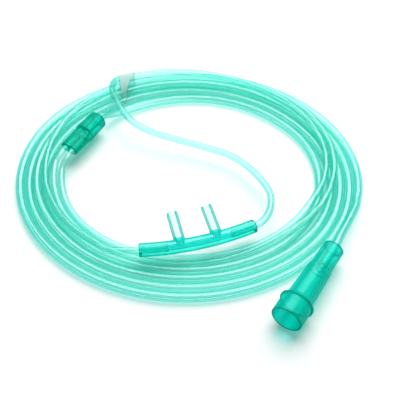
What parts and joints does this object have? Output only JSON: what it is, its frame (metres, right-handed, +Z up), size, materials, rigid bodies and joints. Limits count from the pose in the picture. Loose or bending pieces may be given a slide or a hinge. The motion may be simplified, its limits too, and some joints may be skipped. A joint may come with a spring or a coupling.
{
  "type": "nasal oxygen cannula",
  "caption": "Green nasal oxygen cannula lying in a loose coil: nosepiece with prongs, loop tubes, Y connector, long supply tube, funnel connector and paper tie.",
  "frame": {"origin": "middle of the rectangle of floor that the part covers, on the floor", "axes": "+Z up; -Y the way the funnel connector's open mouth faces; X across the coil, the funnel connector on the +X side"},
  "size_m": [0.1808, 0.1598, 0.0233],
  "materials": {
    "fitting": "clear green, glossy",
    "nosepiece": "clear green, soft, glossy",
    "tube": "clear pale green, glossy",
    "tie": "white coated paper"
  },
  "bodies": {
    "root": {"funnel_connector": "fitting", "y_connector": "fitting", "nosepiece": "nosepiece", "tube_coil": "tube", "coil_tie": "tie", "supply_tube_at_y": "tube", "supply_tube_at_funnel": "tube", "loop_tube_left_at_y": "tube", "loop_tube_right_at_y": "tube", "loop_tube_left": "tube", "loop_tube_right": "tube"}
  },
  "joints": []
}
